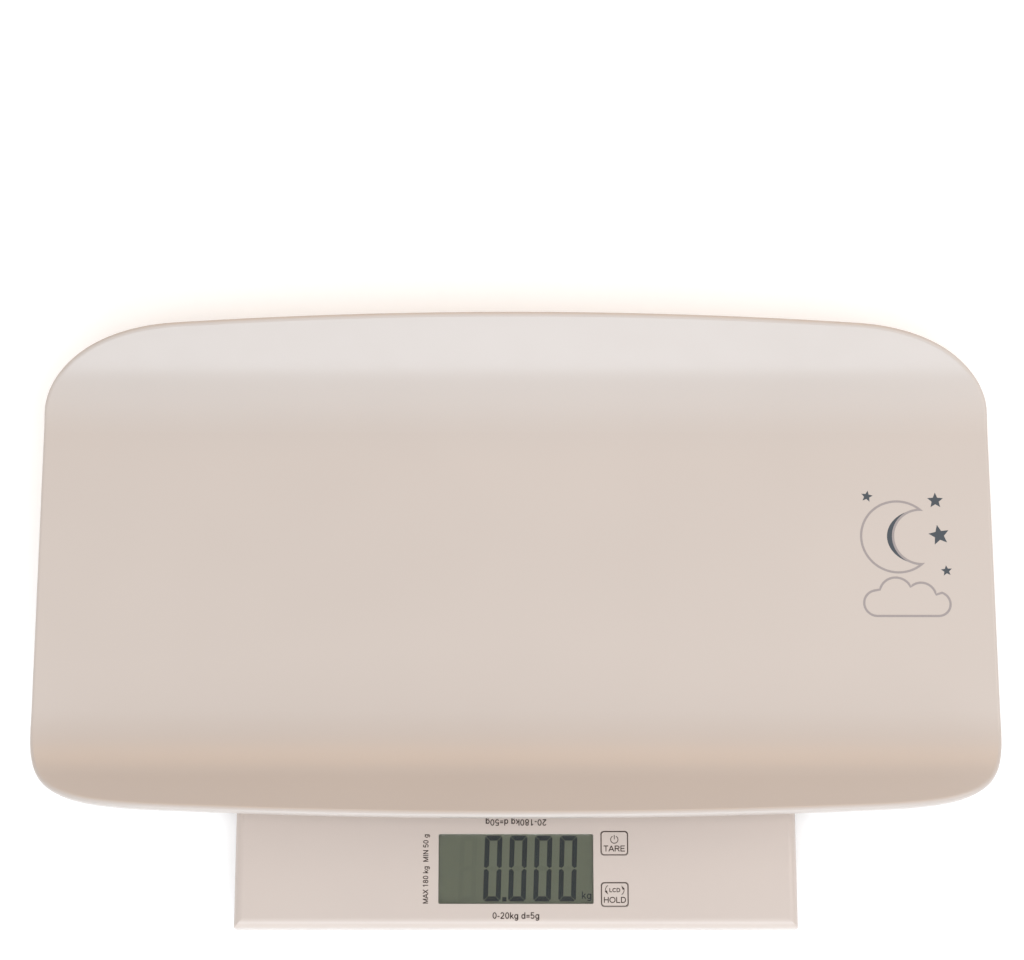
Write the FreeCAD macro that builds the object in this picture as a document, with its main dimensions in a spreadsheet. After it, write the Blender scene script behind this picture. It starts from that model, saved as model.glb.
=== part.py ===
import FreeCAD, Part

import Sketcher
import math
import os
import re

# Two-in-one baby scale: a square battery-powered platform on four load cells, with a long
# open-ended cradle tray that lifts off it.
#
# Frame: +X to the right, +Y to the back, +Z up. The origin is on the floor, under the middle of
# the whole outline. The display and keys are on the strip of platform in front of the tray.

doc = FreeCAD.newDocument("BabyScale")
V = FreeCAD.Vector

# ---------------------------------------------------------------------------------------------
# Driving sizes, in millimetres and degrees
# ---------------------------------------------------------------------------------------------

SIZES = {
    # platform casing
    "base_width": 320,
    "base_depth": 320,
    "base_reach": 56.7,            # how far the platform stands out in front of the tray
    "cover_gap": 7,              # floor to the underside of the bottom cover
    "cover_height": 7,
    "cover_floor": 2.4,
    "cover_wall": 2.0,
    "cover_inset": 1.5,
    "cover_round": 1.5,
    "lap_height": 4,             # lip of the bottom cover inside the top shell
    "lap_gap": 0.2,
    "shell_height": 20,
    "shell_wall": 2.8,
    "shell_top": 3.2,
    "edge_round": 5.5,
    "rib_depth": 8,
    "rib_thick": 1.4,
    "rib_pitch": 50,
    "rib_spread": 60,
    # screws that close the casing
    "screw_inset": 13,
    "screw_spread": 64,
    "screw_shank": 2.8,
    "screw_head": 5.6,
    "head_height": 1.8,
    "head_clear": 0.5,
    "casing_screw_length": 10,
    "holder_screw_length": 12,
    "tray_screw_length": 10,
    "boss_size": 7,
    "well_size": 10,
    "well_height": 2.0,
    "well_depth": 2.2,
    # display
    "window_width": 88,
    "window_depth": 39.5,
    "window_front": 13.3,        # front edge of the platform to the window
    "window_round": 0.9,
    "window_lip": 2.0,
    "window_flange": 1.2,
    "window_fit": 0.1,
    "glass_thick": 2.8,
    "glass_gap": 0.2,
    "holder_wall": 1.5,
    "zebra_height": 4,
    "zebra_thick": 2.0,
    "zebra_inset": 1.6,
    # circuit board
    "board_thick": 1.6,
    "board_depth": 54,
    "board_margin": 16,          # window edge to the board's left end
    "board_tail": 19,            # key centre to the board's right end
    "board_edge": 4,             # board edge to its screws
    "board_gap": 0.5,            # board edge to the casing bosses beside it
    "board_boss": 6,
    "board_screw": 2.0,
    "board_screw_length": 6.5,
    "board_head": 3.8,
    "blob_size": 14,
    "blob_height": 2.0,
    "chip_length": 3.2,
    "chip_width": 1.6,
    "chip_height": 1.2,
    "chip_pitch": 8,
    # keys
    "key_width": 15.4,
    "key_depth": 13.6,
    "key_round": 2.0,
    "key_offset": 56,
    "key_pitch": 29,
    "key_fit": 0.2,
    "key_rise": 0.15,
    "key_lip": 1.2,
    "key_flange": 1.0,
    "key_travel": 0.5,
    "stem_size": 4,
    "switch_size": 6,
    "switch_height": 3.5,
    "plunger_size": 3.5,
    "plunger_rise": 1.0,
    "plunger_seat": 0.8,
    "plunger_fit": 0.2,
    # feet and load cells
    "foot_inset": 36,
    "foot_size": 34,
    "foot_hole": 37,
    "foot_top": 9,               # floor to the shoulder of the foot
    "foot_stem": 12,
    "pad_size": 28,
    "pad_thick": 2.5,
    "pad_recess": 1.0,
    "beam_seat": 11.4,           # floor to the underside of the load cell
    "beam_size": 34,
    "beam_thick": 1.6,
    "beam_slot": 2.5,
    "beam_tongue": 14,
    "holder_size": 50,
    "holder_height": 7,
    "holder_round": 5,
    "holder_screw": 21,          # holder centre to each screw, both ways
    "flex_space": 2.5,
    "pillar_size": 40,
    "pillar_wall": 2.5,
    # battery bay and its door
    "battery_size": 10.5,
    "battery_length": 44.5,
    "battery_pitch": 11,
    "nub_size": 3.8,
    "nub_length": 1.0,
    "spring_room": 7.2,
    "spring_size": 6,
    "spring_wire": 0.5,
    "spring_turns": 4.5,
    "spring_gap": 0.1,
    "contact_thick": 0.4,
    "contact_width": 8,
    "bay_wall": 1.6,
    "bay_shift": 40,             # platform centre to bay centre, towards the back
    "bay_clear": 0.5,
    "door_thick": 2.4,
    "door_margin": 3,
    "door_gap": 0.3,
    "tongue_width": 15,
    "tongue_length": 12,
    "ledge_thick": 2.4,
    "collar_width": 6,
    "notch_width": 18,
    "notch_depth": 1.2,
    "pin_size": 1.4,
    "pin_length": 3,
    "pin_fit": 0.05,
    # tray
    "tray_lift": 22,             # platform top to the tray's inner floor
    "tray_length": 550,
    "tray_depth": 290.6,
    "tray_flat": 164,
    "bend_radius": 60,
    "wall_angle": 40,
    "tray_sheet": 2.6,
    "rim_drop": 8,
    "rim_width": 2.4,
    "rim_round": 2.0,
    "edge_bow": 5.1,
    "back_corner_length": 78,
    "back_corner_depth": 47,
    "back_corner_fullness": 0.571,     # 0.5523 would make it a quarter ellipse
    "front_corner_length": 71,
    "front_corner_depth": 51,
    "front_corner_fullness": 0.762,
    # frame under the tray
    "frame_length": 240,
    "frame_depth": 150,
    "frame_wall": 2.4,
    "frame_floor": 3.4,
    "frame_round": 8,
    "frame_stand": 1.5,          # platform top to the frame's underside
    "tray_boss": 8,
    "tray_pad_size": 20,
    "tray_pad_thick": 2.5,
    "tray_pad_inset": 16,
    "peg_size": 8,
    "peg_length": 6,
    "peg_fit": 0.5,
    "peg_spacing": 200,
    # wiring
    "lead_size": 1.8,
    "lead_bend": 9,
    "lead_slack": 1,             # how far a lead wanders from its line
    "lead_lane": 15,             # cell holder to the lead that runs past it
    "lead_pair": 16,             # between the two leads from the battery bay
    "pad_side": 14,              # board's end to where the back leads join it
    "pad_inset": 7.5,            # board's back edge to where they join it
}

sheet = doc.addObject("Spreadsheet::Sheet", "Sizes")
for row, (alias, value) in enumerate(SIZES.items(), start=1):
    sheet.set("A%d" % row, alias)
    sheet.set("B%d" % row, str(value))
    sheet.setAlias("B%d" % row, alias)
doc.recompute()


def size(alias):
    """The number that the sheet holds under an alias."""
    return float(sheet.get(alias))


def sized(text):
    """Expression text in which each alias is looked up in the sheet."""
    return re.sub(r"\b[a-z]+(?:_[a-z]+)+\b", lambda word: "Sizes." + word.group(), text)


# Levels and centres that several pieces share, as expressions of the driving sizes.
SPLIT_Z = "(cover_gap + cover_height)"
TOP_Z = "(cover_gap + cover_height + shell_height)"
CEILING_Z = "(cover_gap + cover_height + shell_height - shell_top)"
BASE_Y = "((base_depth - tray_depth - base_reach) / 2)"
TRAY_Y = "(base_reach / 2)"
WINDOW_Y = "(window_front + window_depth / 2 - (tray_depth + base_reach) / 2)"
GLASS_Z = f"({CEILING_Z} - window_flange - glass_gap - glass_thick)"
BOARD_TOP = f"({GLASS_Z} - zebra_height)"
HOLDER_TOP = "(beam_seat + holder_height)"

# ---------------------------------------------------------------------------------------------
# Helpers for primitives, sketches and features
# ---------------------------------------------------------------------------------------------

nodes = []


def node(item):
    """Marks an object as a finished sub-part; its label is the sub-part's name."""
    item.Label = item.Name
    nodes.append(item)
    return item


def bind(item, prop, text):
    item.setExpression(prop, sized(text))


def place(item, x="0", y="0", z="0"):
    for axis, text in zip("xyz", (x, y, z)):
        bind(item, "Placement.Base." + axis, text)
    return item


def box(name, width, depth, height, x="0", y="0", z="0"):
    """A block centred on x, y and standing on z."""
    item = doc.addObject("Part::Box", name)
    bind(item, "Length", width)
    bind(item, "Width", depth)
    bind(item, "Height", height)
    return place(item, f"{x} - ({width}) / 2", f"{y} - ({depth}) / 2", z)


def cylinder(name, diameter, height, x="0", y="0", z="0"):
    """An upright round bar standing on z."""
    item = doc.addObject("Part::Cylinder", name)
    bind(item, "Radius", f"({diameter}) / 2")
    bind(item, "Height", height)
    return place(item, x, y, z)


def fuse(name, *items):
    item = doc.addObject("Part::MultiFuse", name)
    item.Shapes = list(items)
    return item


def cut(name, base, tool):
    item = doc.addObject("Part::Cut", name)
    item.Base = base
    item.Tool = tool
    return item


def group(name, items):
    """Separate like pieces kept together in one sub-part."""
    item = doc.addObject("Part::Compound", name)
    item.Links = list(items)
    return item


def solid(name, shape, origin=V(0, 0, 0), turn=FreeCAD.Rotation()):
    """A piece whose shape is worked out by its own function, turned and then moved to origin."""
    item = doc.addObject("Part::Feature", name)
    item.Shape = shape
    item.Placement = FreeCAD.Placement(origin, turn)
    return item


def body(name, x="0", y="0", z="0"):
    return place(doc.addObject("PartDesign::Body", name), x, y, z)


def sketch(owner, level="0", role="XY_Plane"):
    """An empty sketch on one of the body's own planes, raised by level."""
    drawing = owner.newObject("Sketcher::SketchObject", owner.Name + "_sketch")
    face = next(f for f in owner.Origin.OriginFeatures if f.Role == role)
    drawing.AttachmentSupport = [(face, "")]
    drawing.MapMode = "FlatFace"
    bind(drawing, "AttachmentOffset.Base.z", level)
    return drawing


def dimension(drawing, kind, elements, text):
    """A driving dimension whose value is an expression."""
    number = drawing.addConstraint(Sketcher.Constraint(kind, *elements, 1.0))
    bind(drawing, "Constraints[%d]" % number, text)


def rectangles(drawing, items):
    """Rectangles (width, depth, x, y), each centred on x, y."""
    corners = [V(0, 0, 0), V(1, 0, 0), V(1, 1, 0), V(0, 1, 0)]
    for width, depth, x, y in items:
        first = drawing.GeometryCount
        for i in range(4):
            drawing.addGeometry(Part.LineSegment(corners[i], corners[(i + 1) % 4]), False)
        for i in range(4):
            joined = (first + i, 2, first + (i + 1) % 4, 1)
            drawing.addConstraint(Sketcher.Constraint("Coincident", *joined))
            direction = "Horizontal" if i % 2 == 0 else "Vertical"
            drawing.addConstraint(Sketcher.Constraint(direction, first + i))
        dimension(drawing, "DistanceX", (first, 1, first, 2), width)
        dimension(drawing, "DistanceY", (first + 1, 1, first + 1, 2), depth)
        dimension(drawing, "DistanceX", (-1, 1, first, 1), f"{x} - ({width}) / 2")
        dimension(drawing, "DistanceY", (-1, 1, first, 1), f"{y} - ({depth}) / 2")
    return drawing


def circles(drawing, items):
    """Circles (diameter, x, y)."""
    for diameter, x, y in items:
        ring = drawing.addGeometry(Part.Circle(V(0, 0, 0), V(0, 0, 1), 1.0), False)
        dimension(drawing, "Radius", (ring,), f"({diameter}) / 2")
        dimension(drawing, "DistanceX", (-1, 1, ring, 3), x)
        dimension(drawing, "DistanceY", (-1, 1, ring, 3), y)
    return drawing


def pad(owner, drawing, height, both_ways=False, backwards=False):
    """Material raised from the sketch, or to both sides of it."""
    feature = owner.newObject("PartDesign::Pad", owner.Name + "_pad")
    feature.Profile = drawing
    feature.Midplane = both_ways
    feature.Reversed = backwards
    bind(feature, "Length", height)
    return feature


def pocket(owner, drawing, height=None, both_ways=False):
    """Material removed above the sketch, up to height or right through."""
    feature = owner.newObject("PartDesign::Pocket", owner.Name + "_pocket")
    feature.Profile = drawing
    feature.Reversed = True
    feature.Midplane = both_ways
    if height is None:
        feature.Type = "ThroughAll"
    else:
        bind(feature, "Length", height)
    return feature


def fillet(owner, wanted, radius):
    """Rounds the edges of the body's tip whose end points pass a test."""
    doc.recompute()
    tip = owner.Tip
    names = []
    for number, edge in enumerate(tip.Shape.Edges, start=1):
        if wanted([vertex.Point for vertex in edge.Vertexes]):
            names.append("Edge%d" % number)
    feature = owner.newObject("PartDesign::Fillet", owner.Name + "_fillet")
    feature.Base = (tip, names)
    bind(feature, "Radius", radius)
    return feature


def level_edge(z):
    """Test for an edge that lies at one height."""
    return lambda points: all(abs(point.z - z) < 1e-4 for point in points)


def upright_edge(points):
    """Test for a straight vertical edge."""
    return len(points) == 2 and (points[0] - points[1]).cross(V(0, 0, 1)).Length < 1e-4


def upright_edge_at(x, reach):
    """Test for a vertical edge that lies reach to the left or right of x."""
    def wanted(points):
        beside = all(abs(abs(point.x - x) - reach) < 1e-3 for point in points)
        return beside and upright_edge(points)
    return wanted


# ---------------------------------------------------------------------------------------------
# Places that pieces share, measured from the platform's centre
# ---------------------------------------------------------------------------------------------

SCREW_X = "(base_width / 2 - screw_inset)"
SCREW_Y = "(base_depth / 2 - screw_inset)"
BOARD_LEFT = "(window_width / 2 + board_margin)"
BOARD_RIGHT = "(key_offset + board_tail)"
FRONT_SCREW_X = f"({BOARD_RIGHT} + boss_size / 2 + board_gap)"
CASING_SCREWS = [
    (f"-1 * {FRONT_SCREW_X}", f"-1 * {SCREW_Y}"),
    (FRONT_SCREW_X, f"-1 * {SCREW_Y}"),
    (f"-1 * {SCREW_X}", "0"),
    (SCREW_X, "0"),
    ("-1 * screw_spread", SCREW_Y),
    ("screw_spread", SCREW_Y),
    ("-1 * screw_spread", "-1 * screw_spread"),
    ("screw_spread", "-1 * screw_spread"),
]
BEAM_X = "(base_width / 2 - foot_inset)"
BEAM_Y = "(base_depth / 2 - foot_inset)"
CORNERS = {
    "front_left": (f"-1 * {BEAM_X}", f"-1 * {BEAM_Y}"),
    "front_right": (BEAM_X, f"-1 * {BEAM_Y}"),
    "back_left": (f"-1 * {BEAM_X}", BEAM_Y),
    "back_right": (BEAM_X, BEAM_Y),
}
HOLDER_SCREWS = [("holder_screw", "holder_screw"), ("-1 * holder_screw", "-1 * holder_screw")]
BOARD_X = f"(({BOARD_RIGHT} - {BOARD_LEFT}) / 2)"
BOARD_SCREWS = [(x, f"{sign} * (board_depth / 2 - board_edge)")
                for x in (f"(board_edge - {BOARD_LEFT})", f"({BOARD_RIGHT} - board_edge)")
                for sign in (-1, 1)]
KEYS = {"tare": 1, "hold": -1}
PEGS = [("-1 * peg_spacing / 2", "0"), ("peg_spacing / 2", "0")]
WELL_TOP = "(cover_gap + cover_floor + well_height)"

# ---------------------------------------------------------------------------------------------
# Top shell: moulded platform with rounded top edges, ribs, bosses and the display opening
# ---------------------------------------------------------------------------------------------

top_shell = node(body("top_shell", "0", BASE_Y, SPLIT_Z))
UNDER_TOP = "(shell_height - shell_top)"
PANEL_Y = f"({WINDOW_Y} - {BASE_Y})"


def shell_columns(bottom, items):
    """Round columns under the top face, down to the level bottom."""
    drawing = circles(sketch(top_shell, f"{bottom} - {SPLIT_Z}"), items)
    pad(top_shell, drawing, f"{CEILING_Z} - {bottom}")


def shell_pilots(bottom, items, depth):
    """Blind screw holes that start at the level bottom."""
    pocket(top_shell, circles(sketch(top_shell, f"{bottom} - {SPLIT_Z}"), items), depth)


block = rectangles(sketch(top_shell), [("base_width", "base_depth", "0", "0")])
pad(top_shell, block, "shell_height")
fillet(top_shell, level_edge(size("shell_height")), "edge_round")
hollow = ("base_width - 2 * shell_wall", "base_depth - 2 * shell_wall", "0", "0")
pocket(top_shell, rectangles(sketch(top_shell), [hollow]), UNDER_TOP)

RIB_LEVEL = f"({UNDER_TOP} - rib_depth)"
RIB_START = f"({PANEL_Y} + board_depth / 2 + 3 * rib_thick)"
RIB_END = "(base_depth / 2 - shell_wall / 2)"
long_ribs = []
for i in range(-2, 3):
    long_ribs.append(("rib_thick", f"{RIB_END} - {RIB_START}", f"{i} * rib_spread",
                      f"({RIB_END} + {RIB_START}) / 2"))
pad(top_shell, rectangles(sketch(top_shell, RIB_LEVEL), long_ribs), "rib_depth")
cross_ribs = []
for i in range(-1, 3):
    cross_ribs.append(("base_width - shell_wall", "rib_thick", "0", f"{i} * rib_pitch"))
pad(top_shell, rectangles(sketch(top_shell, RIB_LEVEL), cross_ribs), "rib_depth")

board_bosses = [(x, f"{PANEL_Y} + {y}") for x, y in BOARD_SCREWS]
holder_bosses = []
pillars = []
for x, y in CORNERS.values():
    pillars += [("pillar_size", x, y), ("pillar_size - 2 * pillar_wall", x, y)]
    for dx, dy in HOLDER_SCREWS:
        holder_bosses.append((f"{x} + {dx}", f"{y} + {dy}"))
shell_columns(WELL_TOP, [("boss_size", x, y) for x, y in CASING_SCREWS])
shell_columns(BOARD_TOP, [("board_boss", x, y) for x, y in board_bosses])
shell_columns(HOLDER_TOP, pillars)
shell_columns(HOLDER_TOP, [("boss_size", x, y) for x, y in holder_bosses])
shell_pilots(WELL_TOP, [("screw_shank", x, y) for x, y in CASING_SCREWS],
             "casing_screw_length")
shell_pilots(BOARD_TOP, [("board_screw", x, y) for x, y in board_bosses],
             "board_screw_length - board_thick / 2")
shell_pilots(HOLDER_TOP, [("screw_shank", x, y) for x, y in holder_bosses],
             "holder_screw_length - holder_height + screw_shank / 2")

opening = ("window_width", "window_depth", "0", PANEL_Y)
pocket(top_shell, rectangles(sketch(top_shell), [opening]))
key_openings = []
for sign in KEYS.values():
    key_openings.append(("key_width + 2 * key_fit", "key_depth + 2 * key_fit", "key_offset",
                         f"{PANEL_Y} + {sign} * key_pitch / 2"))
pocket(top_shell, rectangles(sketch(top_shell, UNDER_TOP), key_openings))
sockets = [("peg_size + 2 * peg_fit", x, f"{TRAY_Y} - {BASE_Y} + {y}") for x, y in PEGS]
pocket(top_shell, circles(sketch(top_shell), sockets))
fillet(top_shell, upright_edge_at(0, size("window_width") / 2), "window_round")
key_reach = size("key_width") / 2 + size("key_fit")
fillet(top_shell, upright_edge_at(size("key_offset"), key_reach), "key_round")

# ---------------------------------------------------------------------------------------------
# Bottom cover: shallow tray with a lap lip, screw wells, foot openings and the battery bay
# ---------------------------------------------------------------------------------------------

bottom_cover = node(body("bottom_cover", "0", BASE_Y, "cover_gap"))
BAY_LENGTH = "(battery_length + spring_room + 2 * contact_thick)"
BAY_DEPTH = "(4 * battery_pitch)"
BAY_ROOF = "(door_thick + bay_clear + battery_size)"
DOOR_WIDTH = f"({BAY_LENGTH} + 2 * door_margin)"
DOOR_DEPTH = f"({BAY_DEPTH} + 2 * door_margin)"
PIN_Y = f"({DOOR_DEPTH} / 2 - door_thick / 2)"
PIN_SPAN = f"({DOOR_WIDTH} + 2 * pin_length)"


def cover_block(width, depth, height, y="0", level="0"):
    """Material on the bottom cover, over a rectangle centred on x = 0."""
    drawing = rectangles(sketch(bottom_cover, level), [(width, depth, "0", y)])
    return pad(bottom_cover, drawing, height)


def cover_recess(width, depth, height=None, y="0", level="0"):
    """A rectangular hollow in the bottom cover, centred on x = 0."""
    drawing = rectangles(sketch(bottom_cover, level), [(width, depth, "0", y)])
    return pocket(bottom_cover, drawing, height)


cover_block("base_width - 2 * cover_inset", "base_depth - 2 * cover_inset", "cover_height")
fillet(bottom_cover, level_edge(0), "cover_round")
LIP_WIDTH = "base_width - 2 * shell_wall - 2 * lap_gap"
LIP_DEPTH = "base_depth - 2 * shell_wall - 2 * lap_gap"
cover_block(LIP_WIDTH, LIP_DEPTH, "lap_height", level="cover_height")
cover_recess(f"{LIP_WIDTH} - 2 * cover_wall", f"{LIP_DEPTH} - 2 * cover_wall",
             level="cover_floor")

cover_block(f"{DOOR_WIDTH} + 2 * collar_width", f"{DOOR_DEPTH} + 2 * collar_width",
            "door_thick + door_gap + ledge_thick", "bay_shift")
cover_block(f"{BAY_LENGTH} + 2 * bay_wall", f"{BAY_DEPTH} + 2 * bay_wall",
            f"{BAY_ROOF} + bay_wall - cover_floor / 2", "bay_shift", "cover_floor / 2")
wells = circles(sketch(bottom_cover, "cover_floor / 2"),
                [("well_size", x, y) for x, y in CASING_SCREWS])
pad(bottom_cover, wells, "cover_floor / 2 + well_height")
cover_recess(BAY_LENGTH, BAY_DEPTH, BAY_ROOF, "bay_shift")
cover_recess(f"{DOOR_WIDTH} + 2 * door_gap", f"{DOOR_DEPTH} + 2 * door_gap",
             "door_thick + door_gap", "bay_shift")
cover_recess("notch_width", "collar_width / 2 + door_gap", "notch_depth",
             f"bay_shift - {DOOR_DEPTH} / 2 - door_gap / 2 - collar_width / 4")
head_wells = [("screw_head + 2 * head_clear", x, y) for x, y in CASING_SCREWS]
pocket(bottom_cover, circles(sketch(bottom_cover), head_wells), "well_depth")
shank_holes = [("screw_shank + 2 * lap_gap", x, y) for x, y in CASING_SCREWS]
pocket(bottom_cover, circles(sketch(bottom_cover), shank_holes))
foot_holes = [("foot_hole", x, y) for x, y in CORNERS.values()]
pocket(bottom_cover, circles(sketch(bottom_cover), foot_holes))
pin_hole = [("pin_size + 2 * pin_fit", f"bay_shift + {PIN_Y}", "door_thick / 2")]
pocket(bottom_cover, circles(sketch(bottom_cover, "0", "YZ_Plane"), pin_hole),
       f"{PIN_SPAN} + 2 * door_gap", both_ways=True)

# ---------------------------------------------------------------------------------------------
# Battery door: flat plate with a rounded hinge edge, two pins and a sprung tongue
# ---------------------------------------------------------------------------------------------

BAY_Y = f"({BASE_Y} + bay_shift)"
battery_door = node(body("battery_door", "0", BAY_Y, "cover_gap"))
door_plate = (DOOR_WIDTH, f"{DOOR_DEPTH} - door_thick / 2", "0", "-1 * door_thick / 4")
pad(battery_door, rectangles(sketch(battery_door), [door_plate]), "door_thick")
for diameter, span in (("door_thick", DOOR_WIDTH), ("pin_size", PIN_SPAN)):
    roller = circles(sketch(battery_door, "0", "YZ_Plane"), [(diameter, PIN_Y, "door_thick / 2")])
    pad(battery_door, roller, span, both_ways=True)
tongue_slots = []
for sign in (-1, 1):
    tongue_slots.append(("door_thick / 2", "tongue_length", f"{sign} * tongue_width / 2",
                         f"(tongue_length - {DOOR_DEPTH}) / 2"))
pocket(battery_door, rectangles(sketch(battery_door), tongue_slots))
grip_bars = []
for i in range(1, 4):
    grip_bars.append(("tongue_width / 2", "3 * door_gap", "0",
                      f"{i} * tongue_length / 5 - {DOOR_DEPTH} / 2"))
pad(battery_door, rectangles(sketch(battery_door, "-1 * door_gap"), grip_bars), "2 * door_gap")

# ---------------------------------------------------------------------------------------------
# Display: stepped clear window, liquid-crystal glass, its holder and the contact strips
# ---------------------------------------------------------------------------------------------

GLASS_WIDTH = "(window_width + 2 * window_lip)"
GLASS_DEPTH = "(window_depth + 2 * window_lip)"
STRIP_Y = f"({GLASS_DEPTH} / 2 - zebra_inset)"

lcd_window = node(body("lcd_window", "0", WINDOW_Y, f"{CEILING_Z} - window_flange"))
lens = ("window_width - 2 * window_fit", "window_depth - 2 * window_fit", "0", "0")
pad(lcd_window, rectangles(sketch(lcd_window), [lens]), "window_flange + shell_top")
fillet(lcd_window, upright_edge, "window_round")
flange = (GLASS_WIDTH, GLASS_DEPTH, "0", "0")
pad(lcd_window, rectangles(sketch(lcd_window), [flange]), "window_flange")

lcd_glass = node(box("lcd_glass", GLASS_WIDTH, GLASS_DEPTH, "glass_thick", "0", WINDOW_Y,
                     GLASS_Z))

lcd_holder = node(body("lcd_holder", "0", WINDOW_Y, BOARD_TOP))
rim = (f"{GLASS_WIDTH} + 2 * (holder_wall + glass_gap)",
       f"{GLASS_DEPTH} + 2 * (holder_wall + glass_gap)", "0", "0")
pad(lcd_holder, rectangles(sketch(lcd_holder), [rim]), "zebra_height + glass_thick")
seat = (f"{GLASS_WIDTH} + 2 * glass_gap", f"{GLASS_DEPTH} + 2 * glass_gap", "0", "0")
pocket(lcd_holder, rectangles(sketch(lcd_holder, "zebra_height"), [seat]))
holder_slots = [(f"{GLASS_WIDTH} - 6 * zebra_thick", f"2 * ({STRIP_Y} - 2 * zebra_thick)",
                 "0", "0")]
for sign in (-1, 1):
    holder_slots.append((f"{GLASS_WIDTH} - 2 * zebra_thick", "zebra_thick + 2 * lap_gap", "0",
                         f"{sign} * {STRIP_Y}"))
pocket(lcd_holder, rectangles(sketch(lcd_holder), holder_slots))

strips = []
for side, sign in (("front", -1), ("back", 1)):
    strips.append(box("zebra_strip_" + side, f"{GLASS_WIDTH} - 3 * zebra_thick", "zebra_thick",
                      "zebra_height", "0", f"{WINDOW_Y} + {sign} * {STRIP_Y}", BOARD_TOP))
node(group("zebra_strips", strips))

# ---------------------------------------------------------------------------------------------
# Circuit board with its parts
# ---------------------------------------------------------------------------------------------

BOARD_UNDER = f"({BOARD_TOP} - board_thick)"
main_board = node(body("main_board", "0", WINDOW_Y, BOARD_UNDER))
outline = (f"{BOARD_LEFT} + {BOARD_RIGHT}", "board_depth", BOARD_X, "0")
pad(main_board, rectangles(sketch(main_board), [outline]), "board_thick")
screw_holes = [("board_screw + 2 * lap_gap", x, y) for x, y in BOARD_SCREWS]
pocket(main_board, circles(sketch(main_board), screw_holes))

board_parts = [cylinder("controller_blob", "blob_size", "blob_height", "-1 * blob_size",
                        WINDOW_Y, f"{BOARD_UNDER} - blob_height")]
for i in range(6):
    board_parts.append(box("chip_%d" % (i + 1), "chip_length", "chip_width", "chip_height",
                           f"{i + 1} * chip_pitch",
                           f"{WINDOW_Y} + {i % 3 - 1} * chip_pitch",
                           f"{BOARD_UNDER} - chip_height"))
node(group("board_parts", board_parts))

# ---------------------------------------------------------------------------------------------
# Keys: cap with a retaining flange and stem, switch on the board and its plunger
# ---------------------------------------------------------------------------------------------

PLUNGER_TOP = f"({BOARD_TOP} + switch_height + plunger_rise)"
PLUNGER_UNDER = f"({BOARD_TOP} + switch_height - plunger_seat)"
KEY_UNDER = f"({CEILING_Z} - key_fit - key_flange)"
KEY_HEIGHT = "(shell_top + key_fit + key_flange + key_rise)"
key_height = size("shell_top") + size("key_fit") + size("key_flange") + size("key_rise")

for name, sign in KEYS.items():
    key_y = f"{WINDOW_Y} + {sign} * key_pitch / 2"
    case = box(name + "_switch_case", "switch_size", "switch_size", "switch_height",
               "key_offset", key_y, BOARD_TOP)
    hole = cylinder(name + "_switch_hole", "plunger_size + 2 * plunger_fit", "switch_height",
                    "key_offset", key_y, f"{PLUNGER_UNDER} - key_travel - plunger_fit")
    node(cut(name + "_switch", case, hole))
    node(cylinder(name + "_plunger", "plunger_size", "plunger_rise + plunger_seat",
                  "key_offset", key_y, PLUNGER_UNDER))

    key = node(body(name + "_key", "key_offset", key_y, KEY_UNDER))
    cap = ("key_width", "key_depth", "0", "0")
    pad(key, rectangles(sketch(key), [cap]), KEY_HEIGHT)
    fillet(key, upright_edge, "key_round")
    fillet(key, level_edge(key_height), "2 * key_rise")
    lips = ("key_width - 2 * key_round", "key_depth + 2 * key_lip", "0", "0")
    pad(key, rectangles(sketch(key), [lips]), "key_flange")
    stem = circles(sketch(key, f"{PLUNGER_TOP} - {KEY_UNDER}"), [("stem_size", "0", "0")])
    pad(key, stem, f"{KEY_UNDER} - {PLUNGER_TOP} + key_flange")

# ---------------------------------------------------------------------------------------------
# Corner units: load cell in its holder, foot and rubber pad
# ---------------------------------------------------------------------------------------------

FOOT_UNDER = "(pad_thick - pad_recess)"
SLOT_X = "((beam_tongue + beam_slot) / 2)"

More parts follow.
